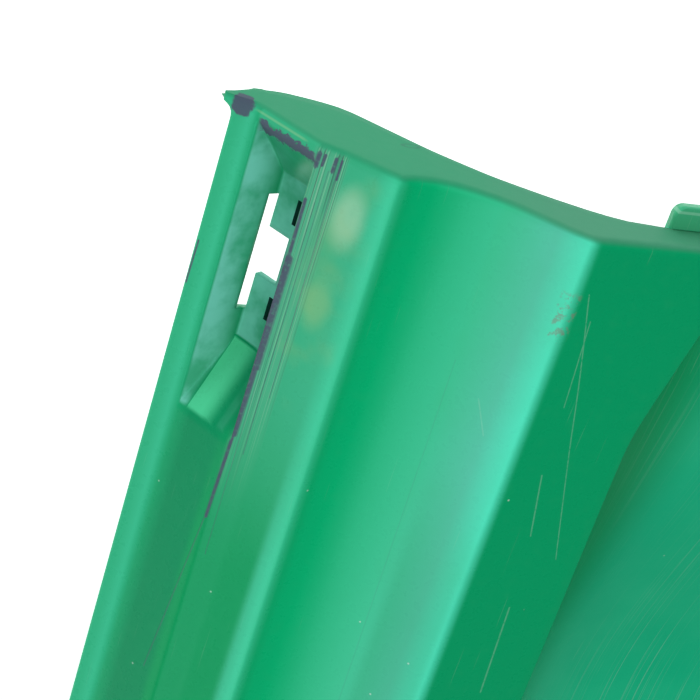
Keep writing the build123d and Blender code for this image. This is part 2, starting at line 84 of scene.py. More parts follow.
class SlideSizes(bpy.types.PropertyGroup):
    slope_angle: FloatProperty(name="Slope", description="Angle of the sliding section",
                               default=math.radians(36.0), subtype="ANGLE")
    start_length: length("Start", "Level starting section beside the deck", 0.280)
    slope_length: length("Slope length", "Straight sliding section", 1.143)
    runout_length: length("Run-out", "Level section at the bottom", 0.240)
    top_bend: length("Top bend", "Radius of the bend below the start", 0.350)
    low_bend: length("Low bend", "Radius of the bend above the run-out", 0.450)
    rail_top: length("Rail top", "Height of the rail top over the deck bolts", 0.050)
    rail_wall: length("Rail wall", "Wall of the moulded rails", 0.003)
    bed_wall: length("Bed wall", "Wall of the moulded bed", 0.004)
    edge_radius: length("End edge radius", "Rounding where a rail turns into its end wall", 0.003)
    socket_depth: length("Socket depth", "Depth of the grip socket below the flank", 0.0172)
    tongue: length("Tongue", "How far the bed laps over the deck edge", 0.008)


class SlideFinish(bpy.types.PropertyGroup):
    rail_green: colour("Rail", "Colour of the moulded rails", (0.001, 0.285, 0.095, 1.0))
    bed_green: colour("Bed", "Colour of the moulded bed", (0.0, 0.455, 0.215, 1.0))
    chalk: colour("Chalk", "Dull bloom on end walls and in the sockets", (0.23, 0.42, 0.33, 1.0))
    # Colour of a painted warm reflection in patches on the flanks.
    warm_reflection: colour("Warm reflection", "Yellowed patches on the flanks", (0.36, 0.42, 0.12, 1.0))
    scorch: colour("Scorch", "Rubbed, melted plastic", (0.075, 0.060, 0.125, 1.0))
    scuff: colour("Scuff", "Reddish rub marks on the crown", (0.22, 0.16, 0.14, 1.0))
    zinc: colour("Zinc", "Galvanised steel", (0.55, 0.57, 0.58, 1.0))
    rubber: colour("Rubber", "Ground shoes and tube caps", (0.012, 0.012, 0.013, 1.0))
    floor: colour("Floor", "Stage floor", (0.90, 0.90, 0.90, 1.0))


def sizes():
    """The slide's sizes, with every length in millimetres."""
    s = bpy.context.scene.slide_sizes
    named = {k: getattr(s, k) / MM for k in SlideSizes.__annotations__ if k != "slope_angle"}
    return dict(named, angle=s.slope_angle)


def finish():
    return bpy.context.scene.slide_finish


# --- the rail-top line -----------------------------------------------------------------------------------
def rail_length():
    d = sizes()
    return (d["start_length"] + d["slope_length"] + d["runout_length"]
            + d["angle"] * (d["top_bend"] + d["low_bend"]))


def place(s, x, z):
    """World points of section points (x, z) at distances s. The line is level, turns down through the top
    bend, runs straight, turns back up through the low bend and ends level; the section stays square to it."""
    d = sizes()
    a, top, low = d["angle"], d["top_bend"], d["low_bend"]
    start, slope = d["start_length"], d["slope_length"]
    level = np.minimum(s, start)
    down = np.clip((s - start) / top, 0.0, a)
    run = np.clip(s - start - a * top, 0.0, slope)
    up = np.clip((s - start - a * top - slope) / low, 0.0, a)
    out = np.maximum(s - start - a * (top + low) - slope, 0.0)
    y = -(level + top * np.sin(down) + run * math.cos(a) + low * (math.sin(a) - np.sin(a - up)) + out)
    h = d["rail_top"] - (top * (1 - np.cos(down)) + run * math.sin(a) + low * (np.cos(a - up) - math.cos(a)))
    tilt = down - up
    return np.stack(np.broadcast_arrays(x, y - np.sin(tilt) * z, h + np.cos(tilt) * z), axis=-1) * MM


# --- meshes ----------------------------------------------------------------------------------------------
def add_object(name, points, quads, values=None, smooth=True):
    """Object from an (n, 3) array of points and an (m, 4) array of quads, with named per-point values. Points
    that no quad uses are left out."""
    used, quads = np.unique(quads, return_inverse=True)
    quads, points = quads.reshape(-1, 4), points[used]
    mesh = bpy.data.meshes.new(name)
    mesh.vertices.add(len(points))
    mesh.vertices.foreach_set("co", points.astype(np.float32).ravel())
    mesh.loops.add(quads.size)
    mesh.loops.foreach_set("vertex_index", quads.astype(np.int32).ravel())
    mesh.polygons.add(len(quads))
    mesh.polygons.foreach_set("loop_start", np.arange(0, quads.size, 4, dtype=np.int32))
    mesh.polygons.foreach_set("use_smooth", np.full(len(quads), smooth))
    for key, value in (values or {}).items():
        kind, field = ("FLOAT_VECTOR", "vector") if value.ndim == 2 else ("FLOAT", "value")
        held = mesh.attributes.new(key, kind, "POINT").data
        held.foreach_set(field, value[used].astype(np.float32).ravel())
    mesh.update(calc_edges=True)
    mesh.validate()
    piece = bpy.data.objects.new(name, mesh)
    bpy.context.scene.collection.objects.link(piece)
    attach(piece, BODY)
    return piece


def grid_quads(rows, cols, keep=None, wrap=False):
    """Quads of a grid of rows by cols points; they face along (next row) x (next column)."""
    r, c = np.meshgrid(np.arange(rows - 1), np.arange(cols if wrap else cols - 1), indexing="ij")
    n = (c + 1) % cols
    quads = np.stack([r * cols + c, (r + 1) * cols + c, (r + 1) * cols + n, r * cols + n], axis=-1)
    return quads[keep] if keep is not None else quads.reshape(-1, 4)


def thicken(piece, wall):
    """Gives an outer skin its wall, inwards."""
    solid = piece.modifiers.new("wall", "SOLIDIFY")
    solid.thickness, solid.offset = wall * MM, -1.0
    solid.use_even_offset = False
    return piece


def spread(density, low, high, count):
    """count values from low to high, closest together where the sampled density is high: the running sum of
    the density is cut into equal shares."""
    x = np.linspace(low, high, len(density))
    total = np.concatenate([[0.0], np.cumsum((density[1:] + density[:-1]) / 2)])
    return np.interp(np.linspace(0, total[-1], count), total, x)


def blur(values, sigma):
    """Moving average with bell-shaped weights, sigma in samples, the ends held in place."""
    half = int(4 * sigma) + 1
    k = np.exp(-0.5 * (np.arange(-half, half + 1) / sigma) ** 2)
    before = 2 * values[:1] - values[half:0:-1]
    after = 2 * values[-1:] - values[-2:-half - 2:-1]
    padded = np.concatenate([before, values, after])
    return np.convolve(padded, k / k.sum(), "valid")


# --- rail section ----------------------------------------------------------------------------------------
TOE, NIB, CREASE = (-289.0, -87.0), (-298.0, -80.5), (-291.6, -73.4)
RIDGE, BAND, SHOULDER = (-278.0, -49.0), (-270.5, -44.0), (-256.0, -29.5)
SCOOP = ((-249.0, -31.2), (-242.0, -31.3), (-232.7, -28.1), (-221.2, -21.4), (-212.7, -13.4), (-205.0, -5.2))
CROWN, MOUTH, LIP = (-198.0, 0.0), (-155.0, 0.0), (-155.8, -14.0)
ARCH = ((-298.0, -80.7), (-289.0, -86.8), (-279.0, -87.0), (-269.0, -84.0), (-259.0, -80.0), (-251.0, -71.0),
        (-243.0, -62.0), (-235.5, -53.6), (-227.0, -46.0), (-219.0, -39.0), (-210.0, -33.0), (-201.4, -27.5),
        (-188.0, -20.0), (-178.0, -16.0), (-167.0, -15.0), (-163.0, -14.0), (-130.0, -14.0))
FLANK = np.array([RIDGE[0] - CREASE[0], RIDGE[1] - CREASE[1]]) / math.dist(RIDGE, CREASE)
INTO_FLANK = np.array([FLANK[1], -FLANK[0]])
FLARE_SLOPE, FLARE_FROM = 0.25, 75.0
NIB_U = math.dist(TOE, NIB)
TOE_INSET = 2.4

# Height of each bell, its spread along the slide and its spread across the section.
BURR, MELT = (7.0, 3.6, 3.2), (1.3, 3.0, 2.6)

RIM_S, FLOOR_S = (5.0, 117.0), (25.0, 89.5)
RIM_T, FLOOR_T = (1.3, 27.8), (5.3, 25.7)
DRAIN_S, DRAIN_FROM = (33.0, 79.0), 13.6
NOTCH_S, NOTCH_T = (45.8, 64.5), 14.8
CATCH_S, CATCH_T, CATCH_DEPTH = ((31.2, 40.2), (69.6, 78.2)), (14.2, 19.5), 9.0


def rail_section():
    """The rail's outer line as dense arrays x, z and distance u, then the distances of its crease, ridge,
    shoulder and crown. Straight runs between the corners are averaged with bell-shaped weights: narrow ones
    at the corners, wide ones in the scoop, none at the mouth."""
    corners = np.array((TOE, NIB, CREASE, RIDGE, BAND, SHOULDER, *SCOOP, CROWN, MOUTH, LIP))
    chord = np.concatenate([[0.0], np.cumsum(np.hypot(*np.diff(corners, axis=0).T))])
    step = 0.2
    u = np.arange(0.0, chord[-1], step)
    raw = [np.interp(u, chord, corners[:, k]) for k in (0, 1)]
    tight, wide = ([blur(v, sigma / step) for v in raw] for sigma in (0.9, 4.5))
    in_scoop = np.clip(np.minimum(raw[0] - SHOULDER[0] - 3, CROWN[0] - 3 - raw[0]) / 6, 0, 1)
    crisp = np.clip((u - chord[-3] - 25) / 8, 0, 1)
    bent = [t * (1 - in_scoop) + w * in_scoop for t, w in zip(tight, wide)]
    x, z = (r * crisp + (1 - crisp) * b for r, b in zip(raw, bent))
    return x, z, u, chord[2], chord[3], chord[5], chord[-3]


def socket_depth(s, t):
    """Depth of the socket at s along and t up the flank: the least of four planes that rise from the floor to
    the rim, cut off at nought outside and at the floor inside. The two catches are blind boxes below it."""
    ramps = [(s - RIM_S[0]) / (FLOOR_S[0] - RIM_S[0]), (RIM_S[1] - s) / (RIM_S[1] - FLOOR_S[1]),
             (t - RIM_T[0]) / (FLOOR_T[0] - RIM_T[0]), (RIM_T[1] - t) / (RIM_T[1] - FLOOR_T[1])]
    depth = sizes()["socket_depth"] * np.clip(np.minimum.reduce(np.broadcast_arrays(*ramps)), 0.0, 1.0)
    for span in CATCH_S:
        along = (s >= span[0]) & (s <= span[1])
        depth += CATCH_DEPTH * (along & (t >= CATCH_T[0] - 0.01) & (t <= CATCH_T[1] + 0.01))
    return depth


def socket_dust_and_painted_light(s, t, sink):
    """Share of settled dust, which also holds painted shade and light: most on the ledge's rim and the floor,
    falling away down the ledge as painted shade; less on the sloping ends; 2 in the catches, which are
    painted near black as shade; and below nought on the lower end wall, which is painted brighter as light."""
    ledge = 0.95 - 0.9 * np.clip((t - RIM_T[0]) / (FLOOR_T[0] - RIM_T[0]), 0, 1) ** 2
    lower = np.interp(t, (12.0, 21.0, 26.0), (-0.90, 0.30, -0.20))
    inner = np.where(s < FLOOR_S[0], 0.35, np.where(s > FLOOR_S[1], lower, 0.62))
    dust = np.where(t < FLOOR_T[0], ledge, inner)
    for span in CATCH_S:
        here = (s > span[0] - 0.3) & (s < span[1] + 0.3) & (t > CATCH_T[0] - 0.3) & (t < CATCH_T[1] + 0.3)
        dust = np.where(here, 2.0, dust)
    return np.where(sink > 0.2, dust, 0.0)


def rail_columns(u, x, z, crease):
    """Distances u of the grid's columns: closest where the section bends, plus the socket's own lines."""
    turn = np.abs(np.gradient(np.unwrap(np.arctan2(np.gradient(z), np.gradient(x))), u))
    cols = spread(0.16 + np.sqrt(turn) * 2.2, 0.0, u[-1], 88)
    wall, ledge = np.linspace(0, 1, 5), np.linspace(0, 1, 14)
    low_wall = RIM_T[0] + ledge * (FLOOR_T[0] - RIM_T[0])
    high_wall = RIM_T[1] + wall * (FLOOR_T[1] - RIM_T[1])
    a, b = CATCH_T
    catches = [a - 0.4, a - 0.2, a, b, b + 0.2, b + 0.4]
    on_floor = [5.8, 8.5, 11.0, NOTCH_T, 22.0, 25.2]
    lines = np.concatenate([low_wall, high_wall, catches, on_floor]) + crease
    near = (cols > crease + 0.9) & (cols < crease + 28.6)
    return np.sort(np.concatenate([cols[~near], lines]))


def rail_rows(total):
    """Distances s of the grid's rows, close together round the socket and on the bends."""
    r = sizes()["edge_radius"]
    catches = [v for a, b in CATCH_S for v in (a - 0.4, a - 0.2, a, b, b + 0.2, b + 0.4)]
    near = np.concatenate([np.linspace(r, RIM_S[0], 3), np.linspace(RIM_S[0], FLOOR_S[0], 15),
                           np.linspace(*FLOOR_S, 32), np.linspace(FLOOR_S[1], RIM_S[1], 18),
                           DRAIN_S, NOTCH_S, catches])
    far = np.concatenate([np.arange(RIM_S[1] + 3, 300, 4.5), np.arange(300, total - r, 11.0), [total - r]])
    return np.unique(np.round(np.concatenate([near, far]), 3))


def rail_grid():
    """Left rail as one grid. Between its ends, each row is the section carried along the rail-top line, its
    mouth flared by the entry and its flank sunk into the socket. Each end turns a quarter circle inwards,
    then falls as an end wall that blends from the section to the arch below it. A burr and a melted swelling,
    both bell-shaped, stand out at the entry end of the foot."""
    d, total = sizes(), rail_length()
    r = d["edge_radius"]
    sx, sz, su, crease = rail_section()[:4]
    u = rail_columns(su, sx, sz, crease)
    x, z = np.interp(u, su, sx), np.interp(u, su, sz)
    heading = np.unwrap(np.arctan2(np.gradient(sz), np.gradient(sx)))
    slope = np.interp(u, su, blur(heading, 16))
    nx, nz = np.sin(slope), -np.cos(slope)
    to_mouth = np.clip((x - CROWN[0]) / (MOUTH[0] - CROWN[0]), 0, 1) ** 2

    s = rail_rows(total)[:, None]
    lead = FLARE_FROM - s
    flare = FLARE_SLOPE / 2 * (lead + np.hypot(lead, 8.0)) * to_mouth
    sink = socket_depth(s, u[None, :] - crease)
    burr = BURR[0] * np.exp(-(s / BURR[1]) ** 2) * np.exp(-((u - NIB_U + 0.5) / BURR[2]) ** 2)
    melt = MELT[0] * np.exp(-((s - 4.0) / MELT[1]) ** 2) * np.exp(-((u - NIB_U - 5.0) / MELT[2]) ** 2)
    gx = x + flare + INTO_FLANK[0] * (sink - melt) - burr
    gz = z + INTO_FLANK[1] * (sink - melt) - 0.35 * burr

    turn = np.linspace(0, math.pi / 2, 6)[:-1, None]
    inset = r * (1 - np.sin(turn)) * np.clip((u - NIB_U - 1.0) / 7.0, 0, 1)
    curl = r * (1 - np.cos(turn))
    arch_x = np.linspace(ARCH[0][0], ARCH[-1][0], 400)
    arch_z = blur(np.interp(arch_x, *np.array(ARCH).T), 6)
    fall = np.linspace(0, 1, 15)[:-1, None] ** 0.8

    def end(flare_row, burr_row):
        ex, ez = x + flare_row - burr_row + inset * nx, z - 0.35 * burr_row + inset * nz
        low = np.interp(ex[0], arch_x, arch_z)
        foot = ex[0] < TOE[0] + 4.0
        low[foot] = np.interp(ex[0][foot], ex[0][u < NIB_U][::-1], ez[0][u < NIB_U][::-1]) - 0.4
        low = np.minimum(low, ez[0] - 0.02)
        return ex, ez, ex[0] + 0 * fall, low + (ez[0] - low) * fall

    ax, az, wx, wz = end(flare[0], burr[0])
    bx, bz, vx, vz = end(flare[-1], burr[-1])
    s_all = np.concatenate([0 * fall, curl, s, total - curl[::-1], total + 0 * fall])
    x_all = np.concatenate([wx, ax, gx, bx[::-1], vx[::-1]])
    z_all = np.concatenate([wz, az, gz, bz[::-1], vz[::-1]])
    wall = np.concatenate([1 + 0 * fall, np.cos(turn), 0 * s, np.cos(turn[::-1]), 1 + 0 * fall])
    # Dust in the socket, which also holds the socket's painted shade and painted light.
    dust = np.zeros_like(x_all)
    dust[len(fall) + len(curl):len(fall) + len(curl) + len(s)] = socket_dust_and_painted_light(s, u - crease, sink)
    return s_all, u, x_all, z_all, wall, dust, crease


def rail_openings(s, u, crease):
    """Which grid quads stay: all but those in the drain and the notch, and the end walls' own toe columns."""
    ms, mt = (s[1:] + s[:-1]) / 2, (u[None, 1:] + u[None, :-1]) / 2 - crease

    def inside(v, span):
        return (v > span[0]) & (v < span[1])

    drain_t = RIM_T[0] + (FLOOR_T[0] - RIM_T[0]) * DRAIN_FROM / sizes()["socket_depth"]
    gone = inside(ms, DRAIN_S) & inside(mt, (drain_t, FLOOR_T[0]))
    gone |= inside(ms, NOTCH_S) & inside(mt, (drain_t, NOTCH_T))
    toe_end = (u[None, 1:] < NIB_U + 0.01) & (np.diff(s, axis=0) == 0)
    return ~(gone | toe_end)


def build_rail(side):
    """Rail skin on one side, -1 left and +1 right: the right one is the left one's mirror image. The toe
    stops short of the end walls, which cover it."""
    s, u, x, z, wall, dust, crease = rail_grid()
    along = np.where(u < NIB_U - 0.01, np.clip(s, TOE_INSET, rail_length() - TOE_INSET), s)
    points = place(along, x, z)
    quads = grid_quads(*x.shape, keep=rail_openings(s, u, crease))
    if side > 0:
        points[..., 0] *= -1
        quads = quads[:, ::-1]
    run = np.stack(np.broadcast_arrays(u * MM, s * MM, side * 0.5), axis=-1)
    wall_end = np.broadcast_to(wall, x.shape).ravel()
    # The dust values also carry the socket's painted shade and painted light.
    values = {"run": run.reshape(-1, 3), "wall_end": wall_end, "dust": dust.ravel()}
    name = "rail_skin_" + ("left" if side < 0 else "right")
    return thicken(add_object(name, points.reshape(-1, 3), quads, values), sizes()["rail_wall"])


# --- bed -------------------------------------------------------------------------------------------------
EDGE_Z, FLOOR_Z, COVE_R, COVE_X, FLANGE_X = -14.0, -60.0, 80.0, 150.0, 174.0
LIP_LEN, ENTRY_LEN, TONGUE_X, TONGUE_R = 40.0, 250.0, 161.5, 3.5
BED_FOOT_Z = -82.0


def bed_grid():
    """Bed surface as one grid. Across, it is a flange, a cove of fixed radius, a flat floor, a cove and a
    flange. Along, its depth follows 3q^2 - 2q^3 from the lip to the full depth, where q is the share of the
    way. Its first few millimetres narrow to the tongue, whose corners are quarter circles, and its last rows
    drop as an end wall."""
    total, tongue = rail_length() - sizes()["rail_wall"], sizes()["tongue"]
    tip = -tongue + TONGUE_R * (1 - np.cos(np.linspace(0, math.pi / 2, 7)))
    s = np.concatenate([tip, np.linspace(tip[-1], -0.2, 6)[1:], [0.4, 1.5], np.arange(3.0, 300, 4.0),
                        np.arange(300.0, total, 11.0), [total - 2.0, total, total, total, total]])[:, None]
    q = np.clip((s - LIP_LEN) / (ENTRY_LEN - LIP_LEN), 0, 1)
    depth = 0.05 + (EDGE_Z - FLOOR_Z - 0.05) * q * q * (3 - 2 * q)
    reach = np.arccos(1 - depth / COVE_R)
    flat = COVE_X - COVE_R * np.sin(reach)
    f = np.linspace(0, 1, 22)[1:]
    cove_x, cove_z = flat + COVE_R * np.sin(reach * f), EDGE_Z - depth + COVE_R * (1 - np.cos(reach * f))
    middle = flat * np.linspace(0, 1, 10)
    rim = COVE_X + (FLANGE_X - COVE_X) * np.array([0.03, 0.2, 0.6, 0.9, 0.95, 0.98, 1.0]) + 0 * s
    hx = np.concatenate([middle, cove_x, rim], axis=1)
    hz = np.concatenate([EDGE_Z - depth + 0 * middle, cove_z, EDGE_Z + 0 * rim], axis=1)
    back = np.clip(TONGUE_R - (s + tongue), 0, TONGUE_R)
    half = TONGUE_X - TONGUE_R + np.sqrt(TONGUE_R**2 - back**2)
    hx *= np.where(s < 5.0, half / FLANGE_X, 1.0)
    drop = np.zeros_like(s)
    drop[-3:, 0] = (0.15, 0.6, 1.0)
    climb = (hx - COVE_X) * (EDGE_Z - BED_FOOT_Z) / (FLANGE_X - COVE_X)
    low = np.where(hx < COVE_X, BED_FOOT_Z, BED_FOOT_Z + climb - 1.0)
    hz = hz + (low - hz) * drop
    x = np.concatenate([-hx[:, :0:-1], hx], axis=1)
    z = np.concatenate([hz[:, :0:-1], hz], axis=1)
    return s, x, z


def build_bed():
    s, x, z = bed_grid()
    run = np.stack(np.broadcast_arrays(x * MM, s * MM, 0.0), axis=-1)
    points = place(s, x, z).reshape(-1, 3)
    piece = add_object("bed_skin", points, grid_quads(*x.shape), {"run": run.reshape(-1, 3)})
    return thicken(piece, sizes()["bed_wall"])


# --- posts and ribs inside the rails ---------------------------------------------------------------------
SCREW_S = np.array([60.0, 230.0, 510.0, 790.0, 1070.0, 1350.0, 1630.0, 1935.0, 2110.0])
CLIP_S = np.array([150.0, 560.0, 930.0, 1310.0, 2090.0])
SCREW_X, TUBE_X, TUBE_Z, PILLAR_X, PILLAR_R, BORE_R = 168.0, 200.0, -75.5, 19.0, 6.0, 2.35


def build_posts(side):
    """Screw posts under one rail. Each is a line (radius, height) turned about its own upright axis: down the
    outside, across the foot, up the bore and in to its end."""
    places = [(s, SCREW_X, -3.0, EDGE_Z, -5.0) for s in SCREW_S]
    for s in CLIP_S:
        for x, top in ((TUBE_X - PILLAR_X, -3.0), (TUBE_X + PILLAR_X, -25.5)):
            places.append((s, x, top, TUBE_Z + 2, TUBE_Z + 18))
    s, x, top, foot, bore = (np.array(v)[:, None, None] for v in zip(*places))
    r = np.array([PILLAR_R, PILLAR_R, PILLAR_R - 0.5, BORE_R + 0.4, BORE_R, BORE_R, 0.01])[None, :, None]
    h = np.concatenate([top, foot + 0.5, foot, foot, foot + 0.4, bore, bore], axis=1)
    a = np.linspace(0, 2 * math.pi, 20, endpoint=False)[None, None, :]
    across, along = x + r * np.cos(a), r * np.sin(a)
    middle = place(s + 0 * across, across, h + 0 * across)
    ahead = place(s + 1.0 + 0 * across, across, h + 0 * across) - middle
    ahead = ahead / np.linalg.norm(ahead, axis=-1, keepdims=True)
    points = middle + ahead * (along * MM)[..., None]
    points[..., 0] *= side
    one = grid_quads(r.shape[1], a.shape[2], wrap=True)
    quads = (one[None] + (np.arange(len(places)) * r.shape[1] * a.shape[2])[:, None, None]).reshape(-1, 4)
    if side > 0:
        quads = quads[:, ::-1]
    name = "rail_posts_" + ("left" if side < 0 else "right")
    points = points.reshape(-1, 3)
    values = {"run": points, "wall_end": np.ones(len(points)), "dust": np.zeros(len(points))}
    return add_object(name, points, quads, values)


# --- finishes: small helpers for node trees --------------------------------------------------------------
GREEN_SHEEN = (0.20, 1.0, 0.75, 1.0)


class Tree:
    """A material's node tree, made by short calls that each return an output socket."""

    def __init__(self, name):
        self.material = bpy.data.materials.new(name)
        self.material.use_nodes = True
        self.tree = self.material.node_tree
        self.shader = self.tree.nodes["Principled BSDF"]

    def node(self, kind, inputs=(), **settings):
        made = self.tree.nodes.new(kind)
        for key, value in settings.items():
            setattr(made, key, value)
        for key, value in dict(inputs).items():
            self.feed(made.inputs[key], value)
        return made

    def feed(self, socket, value):
        if isinstance(value, bpy.types.NodeSocket):
            self.tree.links.new(value, socket)
        elif value is not None:
            socket.default_value = value

    def set(self, key, value):
        self.feed(self.shader.inputs[key], value)

    def math(self, operation, a, b=None, c=None):
        made = self.node("ShaderNodeMath", operation=operation)
        for socket, value in zip(made.inputs, (a, b, c)):
            self.feed(socket, value)
        return made.outputs[0]

    def times(self, first, *rest):
        for value in rest:
            first = self.math("MULTIPLY", first, value)
        return first

    def step(self, value, low, high):
        """Smooth rise from 0 at low to 1 at high; a fall where low is the larger."""
        flip = low > high
        ends = {"From Min": min(low, high), "From Max": max(low, high),
                "To Min": float(flip), "To Max": float(not flip)}
        return self.node("ShaderNodeMapRange", {"Value": value, **ends},
                         interpolation_type="SMOOTHSTEP").outputs["Result"]

    def band(self, value, low, high, soft):
        """1 between low and high, falling to 0 over soft on both sides."""
        return self.times(self.step(value, low - soft, low), self.step(value, high + soft, high))

    def vector(self, source, scale=(1, 1, 1), turn=0.0, move=(0, 0, 0)):
        return self.node("ShaderNodeMapping", {"Vector": source, "Scale": scale, "Location": move,
                                               "Rotation": (0, 0, turn)}).outputs[0]

    def attribute(self, name, output="Fac"):
        return self.node("ShaderNodeAttribute", attribute_name=name).outputs[output]

    def noise(self, vector, scale, detail=3.0, rough=0.55):
        return self.node("ShaderNodeTexNoise", {"Vector": vector, "Scale": scale, "Detail": detail,
                                                "Roughness": rough}).outputs["Fac"]

    def blend(self, share, below, above):
        made = self.node("ShaderNodeMix", data_type="RGBA")
        self.feed(made.inputs["Factor"], share)
        self.feed(made.inputs[6], below)
        self.feed(made.inputs[7], above)
        return made.outputs[2]

    def stroke(self, vector, start, end, half_width):
        """Mask of a scratch: distance to the segment from start to end, in the vector's x and y."""
        run = np.array(end) - np.array(start)
        size = float(np.hypot(*run))
        ahead = run / size
        part = self.node("ShaderNodeVectorMath", {0: vector, 1: (*start, 0.0)},
                         operation="SUBTRACT").outputs[0]
        dot = self.node("ShaderNodeVectorMath", {0: part, 1: (*ahead, 0.0)},
                        operation="DOT_PRODUCT").outputs["Value"]
        side = self.node("ShaderNodeVectorMath", {0: part, 1: (-ahead[1], ahead[0], 0.0)},
                         operation="DOT_PRODUCT").outputs["Value"]
        from_middle = self.math("ABSOLUTE", self.math("SUBTRACT", dot, size / 2))
        over = self.math("MAXIMUM", self.math("SUBTRACT", from_middle, size / 2), 0.0)
        gap = self.math("ADD", self.math("ABSOLUTE", side), over)
        return self.step(gap, half_width * 1.3, half_width * 0.5)


def specks(t, co, scale, size, share):
    """Mask of small round specks: near a cell's point, in the chosen share of the cells."""
    cell = t.node("ShaderNodeTexVoronoi", {"Vector": co, "Scale": scale, "Randomness": 1.0})
    pick = t.step(t.node("ShaderNodeSeparateColor", {"Color": cell.outputs["Color"]}).outputs[0],
                  1.0 - share, 1.001 - share)
    return t.times(t.step(cell.outputs["Distance"], size, size * 0.4), pick)


def hairlines(t, co, turn, seed, low, high, fine=1.5, long=0.022):
    """Mask of fine straight scratches all one way: peaks of a noise stretched along them."""
    lines = t.noise(t.vector(co, (fine, long, 1.0), turn, (seed, seed * 0.37, 0)), 1.0, 2.0, 0.5)
    return t.step(lines, low, high)


